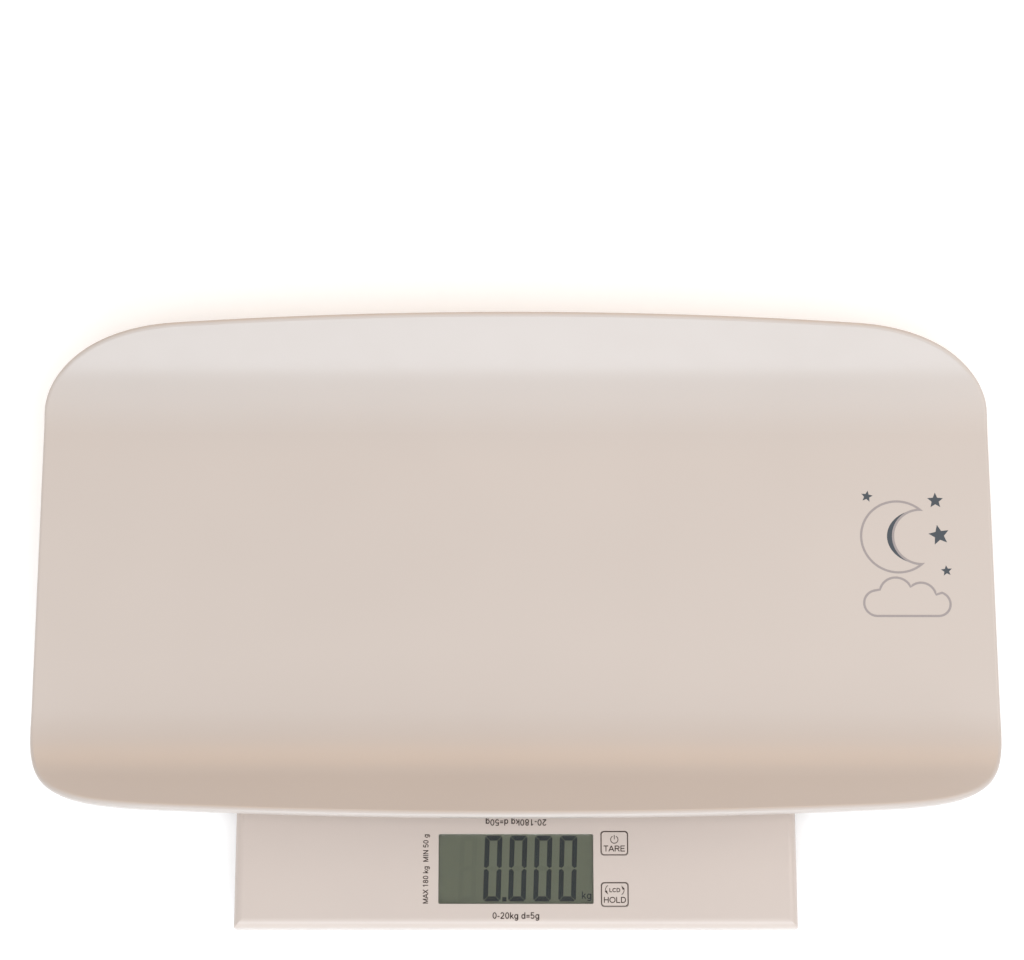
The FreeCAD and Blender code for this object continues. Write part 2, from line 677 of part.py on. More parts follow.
for corner, (x, y) in CORNERS.items():
    corner_y = f"{BASE_Y} + {y}"
    holder = node(body("cell_holder_" + corner, x, corner_y, "beam_seat"))
    square = ("holder_size", "holder_size", "0", "0")
    pad(holder, rectangles(sketch(holder), [square]), "holder_height")
    fillet(holder, upright_edge, "holder_round")
    for inset, depth in (("-2 * lap_gap", "beam_thick"),
                         ("2 * beam_slot", "beam_thick + flex_space")):
        hollow = (f"beam_size - ({inset})", f"beam_size - ({inset})", "0", "0")
        pocket(holder, rectangles(sketch(holder), [hollow]), depth)
    shank_holes = [("screw_shank + 2 * lap_gap", dx, dy) for dx, dy in HOLDER_SCREWS]
    pocket(holder, circles(sketch(holder), shank_holes))

    # A U-shaped slot in the steel plate leaves a tongue that the foot presses on.
    plate = node(body("load_cell_" + corner, x, corner_y, "beam_seat"))
    pad(plate, rectangles(sketch(plate), [("beam_size", "beam_size", "0", "0")]), "beam_thick")
    side_slots = [("beam_slot", "beam_size - 4 * beam_slot", f"{sign} * {SLOT_X}", "0")
                  for sign in (-1, 1)]
    pocket(plate, rectangles(sketch(plate), side_slots))
    end_slot = (f"2 * {SLOT_X}", "beam_slot", "0", "beam_size / 2 - 2.5 * beam_slot")
    pocket(plate, rectangles(sketch(plate), [end_slot]))

    foot = node(body("foot_" + corner, x, corner_y, FOOT_UNDER))
    pad(foot, circles(sketch(foot), [("foot_size", "0", "0")]), f"foot_top - {FOOT_UNDER}")
    foot_shoulder = size("foot_top") - size("pad_thick") + size("pad_recess")
    fillet(foot, level_edge(foot_shoulder), "pad_recess")
    pad(foot, circles(sketch(foot), [("foot_stem", "0", "0")]), f"beam_seat - {FOOT_UNDER}")
    pocket(foot, circles(sketch(foot), [("pad_size", "0", "0")]), "pad_recess")

    node(cylinder("foot_pad_" + corner, "pad_size", "pad_thick", x, corner_y))

# ---------------------------------------------------------------------------------------------
# Batteries in alternating directions, with their contact plates and coil springs
# ---------------------------------------------------------------------------------------------

BATTERY_Z = f"(cover_gap + {BAY_ROOF} - battery_size / 2)"
BATTERY_X = f"({BAY_LENGTH} / 2 - contact_thick - battery_length / 2)"
PLATE_X = f"({BAY_LENGTH} / 2 - contact_thick / 2)"


def coil_spring():
    """A spring that fits between a contact plate and a battery; its wire starts at z = 0."""
    wire = size("spring_wire")
    height = size("spring_room") - 2 * size("spring_gap") - wire
    mean_radius = (size("spring_size") - wire) / 2
    helix = Part.makeLongHelix(height / size("spring_turns"), height, mean_radius)
    section = Part.Circle(V(mean_radius, 0, 0), V(0, 1, 0), wire / 2).toShape()
    return Part.Wire(helix.Edges).makePipeShell([Part.Wire(section)], True, True)


springs = []
for i in range(4):
    facing = 1 if i % 2 == 0 else -1
    row_y = f"{BAY_Y} + {i - 1.5} * battery_pitch"
    battery = node(body("battery_%d" % (i + 1), f"{facing} * {BATTERY_X}", row_y, BATTERY_Z))
    flat_end = f"-1 * {facing} * battery_length / 2"
    for diameter, length in (("battery_size", "battery_length - nub_length"),
                             ("nub_size", "battery_length")):
        drawing = circles(sketch(battery, flat_end, "YZ_Plane"), [(diameter, "0", "0")])
        pad(battery, drawing, length, backwards=facing < 0)
    doc.recompute()
    reach = size("battery_length") / 2 + size("spring_gap") + size("spring_wire") / 2
    start = battery.Placement.Base - V(facing * reach, 0, 0)
    springs.append(solid("battery_spring_%d" % (i + 1), coil_spring(), start,
                         FreeCAD.Rotation(V(0, 1, 0), -90 * facing)))
node(group("battery_springs", springs))

contacts = []
for side, sign, rows in (("left", -1, ((0, 0), (1, 2), (3, 3))), ("right", 1, ((0, 1), (2, 3)))):
    for first, last in rows:
        contacts.append(box(f"contact_{side}_{first}", "contact_thick",
                            f"{last - first} * battery_pitch + contact_width",
                            "contact_width", f"{sign} * {PLATE_X}",
                            f"{BAY_Y} + {(first + last) / 2 - 1.5} * battery_pitch",
                            f"{BATTERY_Z} - contact_width / 2"))
node(group("battery_contacts", contacts))

# ---------------------------------------------------------------------------------------------
# Screws: pan heads with a cross recess, all driven upwards
# ---------------------------------------------------------------------------------------------


def screws(name, points, seat, shank, length, head, driven="0"):
    """One screw at each point, its head under the level seat and its shank above it."""
    made = []
    for i, (x, y) in enumerate(points):
        tag = f"{name}_{i}"
        y = f"{driven} + {y}"
        cap = cylinder(tag + "_head", head, "head_height", x, y, f"{seat} - head_height")
        rod = cylinder(tag + "_shank", shank, f"{length} + head_height / 2", x, y,
                       f"{seat} - head_height / 2")
        arms = []
        for width, depth in (("0.6", "0.15"), ("0.15", "0.6")):
            arms.append(box(f"{tag}_arm_{len(arms)}", f"{width} * ({head})",
                            f"{depth} * ({head})", "head_height / 2", x, y,
                            f"{seat} - head_height"))
        made.append(cut(tag, fuse(tag + "_blank", cap, rod), fuse(tag + "_recess", *arms)))
    return node(group(name, made))


screws("casing_screws", CASING_SCREWS, "(cover_gap + well_depth)", "screw_shank",
       "casing_screw_length", "screw_head", BASE_Y)
screws("board_screws", BOARD_SCREWS, BOARD_UNDER, "board_screw", "board_screw_length",
       "board_head", WINDOW_Y)
screws("holder_screws", holder_bosses, "beam_seat", "screw_shank", "holder_screw_length",
       "screw_head", BASE_Y)

# ---------------------------------------------------------------------------------------------
# Frame under the tray: ribbed box with four rubber pads and two locating pegs
# ---------------------------------------------------------------------------------------------

FRAME_Z = f"({TOP_Z} + frame_stand)"
FRAME_HEIGHT = "(tray_lift - tray_sheet - frame_stand)"
CHAMBER_X = "((frame_length - 6 * frame_wall) / 5)"
CHAMBER_Y = "((frame_depth - 4 * frame_wall) / 3)"
TRAY_SCREWS = [(f"{i} * ({CHAMBER_X} + frame_wall)", f"{sign} * ({CHAMBER_Y} + frame_wall)")
               for i in (-1, 0, 1) for sign in (-1, 1)]
PAD_X = "(frame_length / 2 - tray_pad_inset)"
PAD_Y = "(frame_depth / 2 - tray_pad_inset)"
TRAY_PADS = {
    "front_left": (f"-1 * {PAD_X}", f"-1 * {PAD_Y}"),
    "front_right": (PAD_X, f"-1 * {PAD_Y}"),
    "back_left": (f"-1 * {PAD_X}", PAD_Y),
    "back_right": (PAD_X, PAD_Y),
}

tray_frame = node(body("tray_frame", "0", TRAY_Y, FRAME_Z))
pad(tray_frame, rectangles(sketch(tray_frame), [("frame_length", "frame_depth", "0", "0")]),
    FRAME_HEIGHT)
fillet(tray_frame, upright_edge, "frame_round")
chambers = []
for i in range(-2, 3):
    for j in range(-1, 2):
        chambers.append((CHAMBER_X, CHAMBER_Y, f"{i} * ({CHAMBER_X} + frame_wall)",
                         f"{j} * ({CHAMBER_Y} + frame_wall)"))
pocket(tray_frame, rectangles(sketch(tray_frame, "frame_floor"), chambers))
pegs = circles(sketch(tray_frame, "-1 * peg_length"), [("peg_size", x, y) for x, y in PEGS])
pad(tray_frame, pegs, "peg_length + frame_floor / 2")
pad_seats = [("tray_pad_size", x, y) for x, y in TRAY_PADS.values()]
pocket(tray_frame, circles(sketch(tray_frame), pad_seats), "tray_pad_thick - frame_stand")
head_wells = [("screw_head + 2 * head_clear", x, y) for x, y in TRAY_SCREWS]
pocket(tray_frame, circles(sketch(tray_frame), head_wells), "head_height + lap_gap")
shank_holes = [("screw_shank + 2 * lap_gap", x, y) for x, y in TRAY_SCREWS]
pocket(tray_frame, circles(sketch(tray_frame), shank_holes))

for corner, (x, y) in TRAY_PADS.items():
    node(cylinder("tray_pad_" + corner, "tray_pad_size", "tray_pad_thick", x,
                  f"{TRAY_Y} + {y}", TOP_Z))
screws("tray_screws", TRAY_SCREWS, f"({FRAME_Z} + head_height + lap_gap)", "screw_shank",
       "tray_screw_length", "screw_head", TRAY_Y)

# ---------------------------------------------------------------------------------------------
# Tray: bent sheet with rounded corners, open ends and a turned-down rim
# ---------------------------------------------------------------------------------------------

REACH = 30     # how far the cutting profiles run past the tray, so that they cut cleanly


def wall_line(offset):
    """Edges of the tray's cross-section in YZ, front to back, moved down by offset."""
    half_flat = size("tray_flat") / 2
    bend = size("bend_radius")
    angle = math.radians(size("wall_angle"))
    radius = bend + offset
    half_depth = size("tray_depth") / 2 + REACH

    def on_bend(turn, sign):
        return V(0, sign * (half_flat + radius * math.sin(turn)), bend - radius * math.cos(turn))

    def rim_point(sign):
        top = on_bend(angle, sign)
        return V(0, sign * half_depth, top.z + (half_depth - abs(top.y)) * math.tan(angle))

    edges = []
    for sign in (-1, 1):
        wall = Part.LineSegment(rim_point(sign), on_bend(angle, sign))
        curve = Part.Arc(on_bend(angle, sign), on_bend(angle / 2, sign), on_bend(0, sign))
        edges += [wall.toShape(), curve.toShape()]
    edges.append(Part.LineSegment(on_bend(0, -1), on_bend(0, 1)).toShape())
    return edges, rim_point(-1), rim_point(1)


def slab(upper, lower):
    """The space between two copies of the cross-section, along the whole tray."""
    over, over_front, over_back = wall_line(upper)
    under, under_front, under_back = wall_line(lower)
    closing = [Part.LineSegment(over_front, under_front).toShape(),
               Part.LineSegment(over_back, under_back).toShape()]
    wire = Part.Wire(Part.__sortEdges__(over + under + closing))
    length = size("tray_length") + 2 * REACH
    profile = Part.Face(wire)
    profile.translate(V(-length / 2, 0, 0))
    return profile.extrude(V(length, 0, 0))


def tray_outline(inset):
    """The tray seen from above, shrunk by inset: bowed long edges and full, rounded corners."""
    half_length = size("tray_length") / 2 - inset
    half_depth = size("tray_depth") / 2 - inset
    bow = size("edge_bow")
    edges = []
    side_ends = {}
    for name, end in (("back", 1), ("front", -1)):
        corner_length = size(name + "_corner_length") - inset
        corner_depth = size(name + "_corner_depth") - inset
        fullness = size(name + "_corner_fullness")
        start_x = half_length - corner_length
        start_y = half_depth - bow
        tilt = 2 * math.atan(bow / start_x)
        middle = V(0, end * half_depth, 0)
        edges.append(Part.Arc(V(-start_x, end * start_y, 0), middle,
                              V(start_x, end * start_y, 0)).toShape())
        for side in (-1, 1):
            first = V(side * start_x, end * start_y, 0)
            last = V(side * half_length, end * (start_y - corner_depth), 0)
            along = V(side * math.cos(tilt), -end * math.sin(tilt), 0)
            corner = Part.BezierCurve()
            corner.setPoles([first, first + along * fullness * corner_length,
                             last + V(0, end * fullness * corner_depth, 0), last])
            edges.append(corner.toShape())
            side_ends[name, side] = last
    for side in (-1, 1):
        edges.append(Part.LineSegment(side_ends["back", side], side_ends["front", side]).toShape())
    return Part.Wire(Part.__sortEdges__(edges))


def tray_prism(inset):
    """The upright prism over the tray's outline."""
    bottom = -size("tray_lift")
    face = Part.Face(tray_outline(inset))
    face.translate(V(0, 0, bottom))
    return face.extrude(V(0, 0, size("tray_depth") / 2 - bottom))


def tray_shape():
    """The tray around its inner floor's centre."""
    sheet_thick = size("tray_sheet")
    rim = slab(0, size("rim_drop")).common(tray_prism(0))
    under_sheet = slab(sheet_thick, size("rim_drop") + REACH)
    tray = rim.cut(under_sheet.common(tray_prism(size("rim_width"))))

    outline = tray_outline(0)
    crest = []
    for edge in tray.Edges:
        middle = edge.valueAt((edge.FirstParameter + edge.LastParameter) / 2)
        on_outline = Part.Vertex(middle.x, middle.y, 0).distToShape(outline)[0] < 0.01
        upward = slab(0, 0.01).distToShape(Part.Vertex(middle))[0] < 0.001
        if on_outline and upward:
            crest.append(edge)
    tray = tray.makeFillet(size("rim_round"), crest)

    boss_height = size("tray_lift") - size("frame_stand") - size("frame_floor") - sheet_thick / 2
    frame_floor = -(boss_height + sheet_thick / 2)
    pitch_x = (size("frame_length") - size("frame_wall")) / 5
    pitch_y = (size("frame_depth") - size("frame_wall")) / 3
    for i in (-1, 0, 1):
        for sign in (-1, 1):
            foot_of_boss = V(i * pitch_x, sign * pitch_y, frame_floor)
            boss = Part.makeCylinder(size("tray_boss") / 2, boss_height, foot_of_boss)
            hole = Part.makeCylinder(size("screw_shank") / 2, size("tray_screw_length"),
                                     foot_of_boss)
            tray = tray.fuse(boss).cut(hole)
    return tray


doc.recompute()
frame_place = tray_frame.Placement.Base
tray_place = frame_place + V(0, 0, size("tray_lift") - size("frame_stand"))
node(solid("tray", tray_shape(), tray_place))

# ---------------------------------------------------------------------------------------------
# Wiring: a lead from each load cell and two from the battery bay, laid on the bottom cover
# ---------------------------------------------------------------------------------------------


def lead(points):
    """A round lead of straight runs joined by tangent arcs."""
    edges = []
    start = points[0]
    for before, at, after in zip(points, points[1:], points[2:]):
        back = before - at
        ahead = after - at
        turn = math.pi - back.getAngle(ahead)
        trim = 0.45 * min(back.Length, ahead.Length)
        back.normalize()
        ahead.normalize()
        radius = trim / math.tan(turn / 2)
        bisector = back + ahead
        bisector.normalize()
        centre = at + bisector * (radius / math.cos(turn / 2))
        arc_start = at + back * trim
        arc_end = at + ahead * trim
        edges.append(Part.LineSegment(start, arc_start).toShape())
        edges.append(Part.Arc(arc_start, centre - bisector * radius, arc_end).toShape())
        start = arc_end
    edges.append(Part.LineSegment(start, points[-1]).toShape())
    section = Part.Circle(points[0], points[1] - points[0], size("lead_size") / 2).toShape()
    return Part.Wire(edges).makePipeShell([Part.Wire(section)], True, False)


board_under = main_board.Placement.Base.z
on_cover = size("cover_gap") + size("cover_floor") + size("lead_size") / 2 + size("lap_gap")
at_holder = size("beam_seat") + size("holder_height") / 2
lead_bend = size("lead_bend")
slack = size("lead_slack")
board_y = main_board.Placement.Base.y
board_back = board_y + size("board_depth") / 2
back_pad_x = size("window_width") / 2 + size("board_margin") - size("pad_side")
back_pad_y = board_back - size("pad_inset")
front_pad_x = back_pad_x + 2 * size("lead_size")
front_pad_y = board_y - 3 * size("lead_size")


def wander(start, end, count):
    """Points of a loose lead along Y from start to end, without the start, as (x, y, z)."""
    step = (end - start) / count
    return [(V(-slack * (i % 2), 0, 0) + start + step * i) for i in range(1, count + 1)]


for side, sign in (("left", -1), ("right", 1)):
    back_unit = doc.getObject("cell_holder_back_" + side).Placement.Base
    front_unit = doc.getObject("cell_holder_front_" + side).Placement.Base
    inner = abs(back_unit.x) - size("holder_size") / 2
    lane = inner - size("lead_lane")
    lane_back = V(lane, back_unit.y - lead_bend, on_cover)
    lane_front = V(lane, board_back + 2 * lead_bend, on_cover)
    routes = {
        "back": [V(inner, back_unit.y, at_holder), V(inner - lead_bend, back_unit.y, at_holder),
                 lane_back, *wander(lane_back, lane_front, 4),
                 V(lane - lead_bend, board_back + slack, on_cover),
                 V(back_pad_x + 2 * lead_bend, back_pad_y + 3 * slack, on_cover),
                 V(back_pad_x, back_pad_y, on_cover), V(back_pad_x, back_pad_y, board_under)],
        "front": [V(inner, front_unit.y, at_holder), V(inner - lead_bend, front_unit.y, at_holder),
                  V(lane, front_unit.y - slack, on_cover),
                  V(front_pad_x + 2 * lead_bend, front_pad_y + 3 * slack, on_cover),
                  V(front_pad_x, front_pad_y, on_cover), V(front_pad_x, front_pad_y, board_under)],
    }
    for end, route in routes.items():
        points = [V(sign * at.x, at.y, at.z) for at in route]
        node(solid(f"lead_{end}_{side}", lead(points)))

bay_front = battery_door.Placement.Base.y - 2 * size("battery_pitch") - size("bay_wall")
at_bay = battery.Placement.Base.z
lead_x = size("lead_pair") / 2
battery_leads = []
for side, sign in (("left", -1), ("right", 1)):
    leaves_bay = V(lead_x, bay_front - 3 * lead_bend, on_cover)
    joins_board = V(lead_x, board_back - 2 * size("lead_size"), on_cover)
    route = [V(lead_x, bay_front, at_bay), V(lead_x, bay_front - lead_bend, at_bay),
             leaves_bay, *wander(leaves_bay, joins_board, 4),
             V(joins_board.x, joins_board.y, board_under)]
    points = [V(sign * at.x, at.y, at.z) for at in route]
    battery_leads.append(solid("battery_lead_" + side, lead(points)))
node(group("battery_leads", battery_leads))

# ---------------------------------------------------------------------------------------------
# Checks and export
# ---------------------------------------------------------------------------------------------

doc.recompute()
for item in doc.Objects:
    if "Invalid" in item.State or "Error" in item.State:
        raise RuntimeError(f"{item.Name} failed: {item.State}")
for item in nodes:
    if item.Shape.isNull() or not item.Shape.isValid():
        raise RuntimeError(f"{item.Name} has no valid shape")

os.makedirs("parts", exist_ok=True)
for item in nodes:
    item.Shape.exportStep(f"parts/{item.Label}.step")
print(f"{len(nodes)} sub-parts written")
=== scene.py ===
import math

import bpy
from mathutils import Matrix, Vector


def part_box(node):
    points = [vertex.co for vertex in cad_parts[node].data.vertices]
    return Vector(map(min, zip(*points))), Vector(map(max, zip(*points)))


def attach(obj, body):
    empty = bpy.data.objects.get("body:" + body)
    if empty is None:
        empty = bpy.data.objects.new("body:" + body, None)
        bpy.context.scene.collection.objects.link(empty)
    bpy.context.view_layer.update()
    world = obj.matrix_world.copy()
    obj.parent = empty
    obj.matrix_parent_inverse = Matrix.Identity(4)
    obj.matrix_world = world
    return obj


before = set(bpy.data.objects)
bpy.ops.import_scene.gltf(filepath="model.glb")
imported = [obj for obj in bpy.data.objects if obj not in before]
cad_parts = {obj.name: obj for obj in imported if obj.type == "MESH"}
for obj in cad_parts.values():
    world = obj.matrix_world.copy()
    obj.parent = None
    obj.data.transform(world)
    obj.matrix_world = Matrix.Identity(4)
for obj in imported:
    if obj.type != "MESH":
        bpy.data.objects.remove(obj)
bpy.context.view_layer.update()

# ---------------------------------------------------------------------------------------------
# Room: a white board, faintly lit from within, is the floor. Soft white light comes from above
# and, a little cooler, from the front. A weak small lamp stands near the right end and a weak
# warm one behind, so only faint, wide shadows fall on the board.
# ---------------------------------------------------------------------------------------------

BOARD_REACH = 6
BOARD_CLOUD_MM = 25


def linear(code):
    """Linear colour of an sRGB hex value such as d9cec6."""
    shares = [int(code[i:i + 2], 16) / 255 for i in (0, 2, 4)]
    return [s / 12.92 if s <= 0.04045 else ((s + 0.055) / 1.055) ** 2.4 for s in shares] + [1.0]


def add_node(material, kind, settings, links=None):
    """Adds a shader node; a setting is one of its inputs or properties, a link feeds an input."""
    made = material.node_tree.nodes.new(kind)
    for name, value in settings.items():
        if name in made.inputs:
            made.inputs[name].default_value = value
        else:
            setattr(made, name, value)
    for name, source in (links or {}).items():
        material.node_tree.links.new(source, made.inputs[name])
    return made


def finish_material(name, surface_links, settings):
    """A material with one Principled shader; surface_links makes the nodes that feed it."""
    material = bpy.data.materials.new(name)
    material.use_nodes = True
    material.node_tree.nodes.clear()
    links = surface_links(material)
    shader = add_node(material, "ShaderNodeBsdfPrincipled", settings, links)
    add_node(material, "ShaderNodeOutputMaterial", {}, {"Surface": shader.outputs["BSDF"]})
    return material


def board_white(material):
    """A dull, coated white with very faint clouds."""
    coords = add_node(material, "ShaderNodeTexCoord", {})
    cloud = add_node(material, "ShaderNodeTexNoise",
                     {"Scale": 1000.0 / BOARD_CLOUD_MM, "Detail": 4.0},
                     {"Vector": coords.outputs["Object"]})
    tint = add_node(material, "ShaderNodeValToRGB", {}, {"Fac": cloud.outputs["Fac"]})
    tint.color_ramp.elements[0].color = linear("fbfbfb")
    tint.color_ramp.elements[1].color = linear("fdfdfd")
    return {"Base Color": tint.outputs["Color"]}


floor_mesh = bpy.data.meshes.new("floor")
floor_mesh.from_pydata([(-BOARD_REACH, -BOARD_REACH, 0), (BOARD_REACH, -BOARD_REACH, 0),
                        (BOARD_REACH, BOARD_REACH, 0), (-BOARD_REACH, BOARD_REACH, 0)],
                       [], [(0, 1, 2, 3)])
floor = bpy.data.objects.new("floor", floor_mesh)
bpy.context.collection.objects.link(floor)
floor_mesh.materials.append(finish_material(
    "backlit_white_board", board_white,
    {"Roughness": 0.9, "Emission Color": linear("ffffff"), "Emission Strength": 0.13}))

world = bpy.data.worlds.new("room")
world.use_nodes = True
world.node_tree.nodes["Background"].inputs["Color"].default_value = linear("fffefd")
world.node_tree.nodes["Background"].inputs["Strength"].default_value = 0.5
bpy.context.scene.world = world
bpy.context.scene.view_settings.view_transform = "Standard"

LIT_PLACE = (0, 0.03, 0.05)


def soft_light(name, place, width, depth, power, colour, mirrored=True):
    """A rectangular lamp that faces the scale; mirrored shows it in glossy surfaces."""
    data = bpy.data.lights.new(name, "AREA")
    data.shape = "RECTANGLE"
    data.size = width
    data.size_y = depth
    data.energy = power
    data.color = linear(colour)[:3]
    lamp = bpy.data.objects.new(name, data)
    lamp.location = place
    lamp.visible_camera = False
    lamp.visible_glossy = mirrored
    facing = Vector(LIT_PLACE) - Vector(place)
    lamp.rotation_euler = facing.to_track_quat("-Z", "Y").to_euler()
    bpy.context.collection.objects.link(lamp)


soft_light("front_light", (0.0, -2.5, 1.5), 2.4, 1.2, 38, "eaf5ff")
# The top light isn't mirrored, so the display can be read from straight above.
soft_light("top_light", (0.0, -0.7, 2.7), 2.4, 1.2, 39.5, "f8fcff", mirrored=False)
soft_light("right_light", (1.0, 0.1, 0.9), 0.6, 0.6, 2.1, "fffaf6")
soft_light("back_light", (0.0, 2.35, 1.6), 2.4, 1.2, 15.5, "ffb94c")

# The camera stands above the front of the scale and looks down at 78 degrees.
EYE = Vector((-0.005, -0.256, 1.369))
AIM = Vector((-0.0023, 0.0355, 0.056))

lens = bpy.data.cameras.new("camera")
lens.sensor_width = 36.0
lens.lens = 82.2
lens.shift_y = 0.076
camera = bpy.data.objects.new("camera", lens)
backward = (EYE - AIM).normalized()
rightward = Vector((0, 1, 0)).cross(backward).normalized()
upward = backward.cross(rightward)
camera.matrix_world = Matrix.Translation(EYE) @ Matrix(
    (rightward, upward, backward)).transposed().to_4x4()
bpy.context.collection.objects.link(camera)
bpy.context.scene.camera = camera

# ---------------------------------------------------------------------------------------------
# Platform casing: top shell, bottom cover and battery door, moulded in glossy white ABS.
# A polished mould leaves an even gloss with a very slight waviness, and the warm white pigment
# varies a little where the melt has flowed. The cover screws up into the shell from below.
# ---------------------------------------------------------------------------------------------

FLOW_MM = 111.0
GLOSS_MM = 16.7


def moulded(name, light, dark, roughness, ripple_mm, ripple_height, ior=1.53):
    """Injection-moulded plastic: a faint flow tint, uneven gloss and a fine surface ripple.

    ripple_mm is the ripple's spacing, and ripple_height its strength from 0 to 1.
    """
    def surface(material):
        coords = add_node(material, "ShaderNodeTexCoord", {})
        flow = add_node(material, "ShaderNodeTexNoise",
                        {"Scale": 1000.0 / FLOW_MM, "Detail": 2.0},
                        {"Vector": coords.outputs["Object"]})
        tint = add_node(material, "ShaderNodeValToRGB", {}, {"Fac": flow.outputs["Fac"]})
        tint.color_ramp.elements[0].position = 0.3
        tint.color_ramp.elements[0].color = linear(dark)
        tint.color_ramp.elements[1].position = 0.7
        tint.color_ramp.elements[1].color = linear(light)
        gloss = add_node(material, "ShaderNodeTexNoise",
                         {"Scale": 1000.0 / GLOSS_MM, "Detail": 3.0},
                         {"Vector": coords.outputs["Object"]})
        spread = add_node(material, "ShaderNodeMapRange",
                          {"To Min": roughness * 0.9, "To Max": roughness * 1.15},
                          {"Value": gloss.outputs["Fac"]})
        ripple = add_node(material, "ShaderNodeTexNoise",
                          {"Scale": 1000.0 / ripple_mm, "Detail": 1.0},
                          {"Vector": coords.outputs["Object"]})
        relief = add_node(material, "ShaderNodeBump",
                          {"Strength": ripple_height, "Distance": 0.0001},
                          {"Height": ripple.outputs["Fac"]})
        return {"Base Color": tint.outputs["Color"], "Roughness": spread.outputs["Result"],
                "Normal": relief.outputs["Normal"]}
    return finish_material(name, surface, {"IOR": ior})


def dress(material, *nodes):
    """Gives CAD nodes their material."""
    for name in nodes:
        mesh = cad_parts[name].data
        mesh.materials.clear()
        mesh.materials.append(material)


casing_abs = moulded("glossy_white_abs", "cdbfb6", "cbbdb4", 0.32, 4.0, 0.1)
dress(casing_abs, "top_shell", "bottom_cover", "battery_door")

# ---------------------------------------------------------------------------------------------
# Feet: ABS cups with a grey rubber pad glued into each. They press on the load cells through
# the holes in the bottom cover. An etched mould leaves the cups satin, and the rubber is dull
# with a fine grain.
# ---------------------------------------------------------------------------------------------

CORNERS = ("front_left", "front_right", "back_left", "back_right")

foot_abs = moulded("satin_grey_abs", "cfccc8", "c8c5c1", 0.45, 2.0, 0.4)
pad_rubber = moulded("grey_rubber", "6f6e6d", "666564", 0.75, 0.8, 0.8, ior=1.5)
dress(foot_abs, *("foot_" + corner for corner in CORNERS))
dress(pad_rubber, *("foot_pad_" + corner for corner in CORNERS))

# ---------------------------------------------------------------------------------------------
# Load cells: stamped spring-steel plates in satin moulded holders, one in each corner.
# Rolling leaves fine scratches along the sheet, which streak its shine. The real ones are
# finer than the render shows, so they are drawn 0.4 mm apart.
# ---------------------------------------------------------------------------------------------

SCRATCH_LENGTH_MM = 50
SCRATCH_DEPTH_MM = 2.5


def metal(name, light, dark, roughness, scratch_mm):
    """Bare or plated metal with fine scratches along X, scratch_mm apart."""
    def surface(material):
        coords = add_node(material, "ShaderNodeTexCoord", {})
        along = add_node(material, "ShaderNodeMapping",
                         {"Scale": (1000.0 / SCRATCH_LENGTH_MM, 1000.0 / scratch_mm,
                                    1000.0 / SCRATCH_DEPTH_MM)},
                         {"Vector": coords.outputs["Object"]})
        scratch = add_node(material, "ShaderNodeTexNoise", {"Scale": 1.0, "Detail": 3.0},
                           {"Vector": along.outputs["Vector"]})
        tint = add_node(material, "ShaderNodeValToRGB", {}, {"Fac": scratch.outputs["Fac"]})
        tint.color_ramp.elements[0].color = linear(dark)
        tint.color_ramp.elements[1].color = linear(light)
        spread = add_node(material, "ShaderNodeMapRange",
                          {"To Min": roughness * 0.8, "To Max": roughness * 1.3},
                          {"Value": scratch.outputs["Fac"]})
        return {"Base Color": tint.outputs["Color"], "Roughness": spread.outputs["Result"]}
    return finish_material(name, surface, {"Metallic": 1.0})


cell_steel = metal("rolled_spring_steel", "b9b8b6", "a3a2a0", 0.35, 0.4)
holder_abs = moulded("satin_white_abs", "dcdad6", "d6d4d0", 0.4, 2.0, 0.4)
dress(cell_steel, *("load_cell_" + corner for corner in CORNERS))
dress(holder_abs, *("cell_holder_" + corner for corner in CORNERS), "lcd_holder")

# ---------------------------------------------------------------------------------------------
# Screws: cold-headed steel with a cross recess, driven into the bosses of the mouldings.
# The zinc plating is bright and slightly blue, with fine marks from the plating barrel.
# ---------------------------------------------------------------------------------------------

screw_zinc = metal("zinc_plated_steel", "c9cacb", "b2b3b5", 0.28, 0.3)
dress(screw_zinc, "casing_screws", "board_screws", "holder_screws", "tray_screws")

# ---------------------------------------------------------------------------------------------
# Circuit board: glass-fibre laminate with black epoxy parts, two tact switches under nylon
# plungers, and rubber contact strips to the display. The green solder mask is glossy, and the
# weave shows faintly through it, drawn at twice its real spacing so that it can be seen.
# ---------------------------------------------------------------------------------------------

WEAVE_MM = 1.05
WAVES_PER_UNIT = 10 / math.pi


def board_mask(material):
    """Clear green over woven glass; a wave texture of scale 1 has WAVES_PER_UNIT bands."""
    coords = add_node(material, "ShaderNodeTexCoord", {})
    weave = add_node(material, "ShaderNodeTexWave",
                     {"Scale": 1000.0 / WEAVE_MM / WAVES_PER_UNIT, "Distortion": 0.5},
                     {"Vector": coords.outputs["Object"]})
    tint = add_node(material, "ShaderNodeValToRGB", {}, {"Fac": weave.outputs["Fac"]})
    tint.color_ramp.elements[0].color = linear("1c5a34")
    tint.color_ramp.elements[1].color = linear("236b3f")
    return {"Base Color": tint.outputs["Color"]}


solder_mask = finish_material("green_solder_mask", board_mask, {"Roughness": 0.3, "IOR": 1.5})
# Moulded epoxy and nylon are satin, and the carbon-filled contact rubber is dull.
part_epoxy = moulded("black_epoxy", "232323", "1b1b1b", 0.5, 0.8, 0.5, ior=1.55)
plunger_nylon = moulded("white_nylon", "d8d6d0", "cfcdc6", 0.45, 1.0, 0.3)
strip_rubber = moulded("contact_rubber", "4b4b4d", "38383a", 0.7, 0.5, 0.5, ior=1.5)
dress(solder_mask, "main_board")
dress(part_epoxy, "board_parts", "tare_switch", "hold_switch")
dress(plunger_nylon, "tare_plunger", "hold_plunger")
dress(strip_rubber, "zebra_strips")

